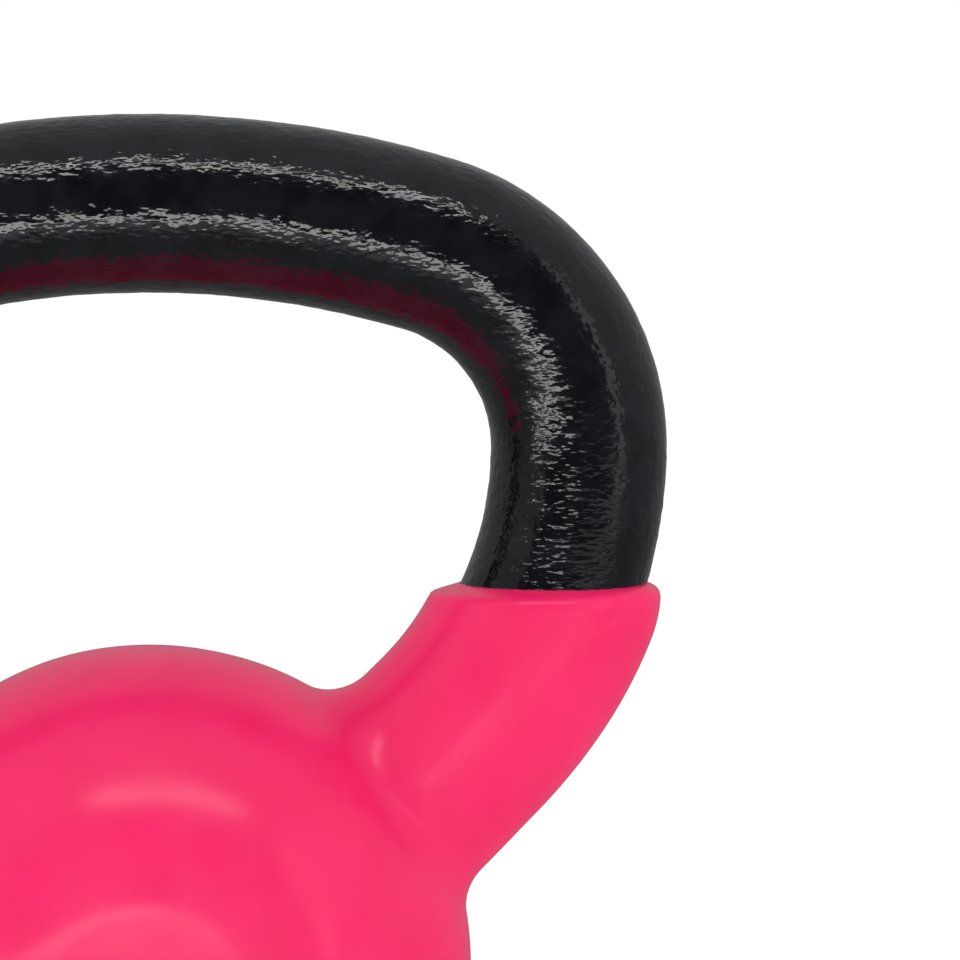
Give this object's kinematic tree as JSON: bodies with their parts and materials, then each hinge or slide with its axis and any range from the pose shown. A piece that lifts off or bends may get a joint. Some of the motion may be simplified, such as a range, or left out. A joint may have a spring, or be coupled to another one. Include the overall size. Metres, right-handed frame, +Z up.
{
  "type": "kettlebell",
  "caption": "Cast-iron kettlebell with a looped hand bar in black enamel and a thick pink vinyl jacket over the ball and horns.",
  "frame": {"origin": "middle of the flat resting face under the ball, on the floor", "axes": "+X along the hand bar, +Y from the front flat face to the back flat face, +Z up through the ball and the middle of the bar"},
  "size_m": [0.1642, 0.0808, 0.1732],
  "materials": {
    "cast_iron": "as cast, fine sand texture",
    "black_enamel": "glossy baked enamel over a cast surface, with fine pits and grinding marks",
    "pink_vinyl": "soft gloss, dip coated"
  },
  "bodies": {
    "root": {"iron_casting": "cast_iron", "handle_enamel": "black_enamel", "vinyl_jacket": "pink_vinyl"}
  },
  "joints": []
}
